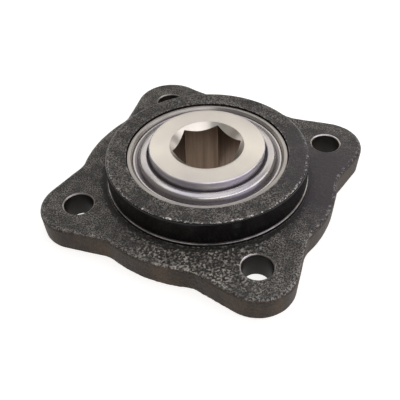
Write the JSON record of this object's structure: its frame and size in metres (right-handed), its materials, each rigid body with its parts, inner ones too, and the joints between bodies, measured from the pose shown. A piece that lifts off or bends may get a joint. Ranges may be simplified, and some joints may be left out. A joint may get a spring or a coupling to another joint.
{
  "type": "flange mount bearing",
  "caption": "Square four-bolt cast flange housing with a round boss and a sealed ball bearing whose wide inner ring has a hexagonal bore.",
  "frame": {"origin": "point where the bore axis meets the flange's mounting face, at the bottom centre of the part", "axes": "+Z along the bore axis from the mounting face towards the boss and the open front of the bearing; X and Y parallel to the sides of the bolt square"},
  "size_m": [0.14, 0.14, 0.0334],
  "materials": {
    "cast_housing": "black paint over an as-cast surface, semi-gloss",
    "ring_steel": "ground bearing steel",
    "ball_steel": "polished bearing steel",
    "cage_steel": "pressed sheet steel",
    "shroud_steel": "pressed and plated sheet steel",
    "seal_rubber": "matt nitrile rubber"
  },
  "bodies": {
    "housing": {"housing": "cast_housing", "outer_ring": "ring_steel", "seal_shroud_front": "shroud_steel", "seal_shroud_back": "shroud_steel", "seal_lip_front": "seal_rubber", "seal_lip_back": "seal_rubber"},
    "inner_ring": {"inner_ring": "ring_steel"},
    "cage": {"cage_front": "cage_steel", "cage_back": "cage_steel", "cage_rivet_1": "cage_steel", "cage_rivet_2": "cage_steel", "cage_rivet_3": "cage_steel", "cage_rivet_4": "cage_steel", "cage_rivet_5": "cage_steel", "cage_rivet_6": "cage_steel", "cage_rivet_7": "cage_steel", "cage_rivet_8": "cage_steel", "cage_rivet_9": "cage_steel"},
    "ball_1": {"ball_1": "ball_steel"},
    "ball_2": {"ball_2": "ball_steel"},
    "ball_3": {"ball_3": "ball_steel"},
    "ball_4": {"ball_4": "ball_steel"},
    "ball_5": {"ball_5": "ball_steel"},
    "ball_6": {"ball_6": "ball_steel"},
    "ball_7": {"ball_7": "ball_steel"},
    "ball_8": {"ball_8": "ball_steel"},
    "ball_9": {"ball_9": "ball_steel"}
  },
  "joints": [
    {"name": "inner_ring_spin", "type": "hinge", "parent": "housing", "child": "inner_ring", "pos_m": [0, 0, 0.0169], "axis": [0, 0, 1], "continuous": true},
    {"name": "cage_orbit", "type": "hinge", "parent": "housing", "child": "cage", "pos_m": [0, 0, 0.0169], "axis": [0, 0, 1], "continuous": true},
    {"name": "ball_1_spin", "type": "hinge", "parent": "cage", "child": "ball_1", "pos_m": [0.0325, 0, 0.0169], "axis": [0, 0, 1], "continuous": true},
    {"name": "ball_2_spin", "type": "hinge", "parent": "cage", "child": "ball_2", "pos_m": [0.0249, 0.02089, 0.0169], "axis": [0, 0, 1], "continuous": true},
    {"name": "ball_3_spin", "type": "hinge", "parent": "cage", "child": "ball_3", "pos_m": [0.00564, 0.03201, 0.0169], "axis": [0, 0, 1], "continuous": true},
    {"name": "ball_4_spin", "type": "hinge", "parent": "cage", "child": "ball_4", "pos_m": [-0.01625, 0.02815, 0.0169], "axis": [0, 0, 1], "continuous": true},
    {"name": "ball_5_spin", "type": "hinge", "parent": "cage", "child": "ball_5", "pos_m": [-0.03054, 0.01112, 0.0169], "axis": [0, 0, 1], "continuous": true},
    {"name": "ball_6_spin", "type": "hinge", "parent": "cage", "child": "ball_6", "pos_m": [-0.03054, -0.01112, 0.0169], "axis": [0, 0, 1], "continuous": true},
    {"name": "ball_7_spin", "type": "hinge", "parent": "cage", "child": "ball_7", "pos_m": [-0.01625, -0.02815, 0.0169], "axis": [0, 0, 1], "continuous": true},
    {"name": "ball_8_spin", "type": "hinge", "parent": "cage", "child": "ball_8", "pos_m": [0.00564, -0.03201, 0.0169], "axis": [0, 0, 1], "continuous": true},
    {"name": "ball_9_spin", "type": "hinge", "parent": "cage", "child": "ball_9", "pos_m": [0.0249, -0.02089, 0.0169], "axis": [0, 0, 1], "continuous": true}
  ],
  "couplings": [
    {"joint": "cage_orbit", "follows": "inner_ring_spin", "ratio": 0.4023},
    {"joint": "ball_1_spin", "follows": "inner_ring_spin", "ratio": -2.4614},
    {"joint": "ball_2_spin", "follows": "inner_ring_spin", "ratio": -2.4614},
    {"joint": "ball_3_spin", "follows": "inner_ring_spin", "ratio": -2.4614},
    {"joint": "ball_4_spin", "follows": "inner_ring_spin", "ratio": -2.4614},
    {"joint": "ball_5_spin", "follows": "inner_ring_spin", "ratio": -2.4614},
    {"joint": "ball_6_spin", "follows": "inner_ring_spin", "ratio": -2.4614},
    {"joint": "ball_7_spin", "follows": "inner_ring_spin", "ratio": -2.4614},
    {"joint": "ball_8_spin", "follows": "inner_ring_spin", "ratio": -2.4614},
    {"joint": "ball_9_spin", "follows": "inner_ring_spin", "ratio": -2.4614}
  ]
}
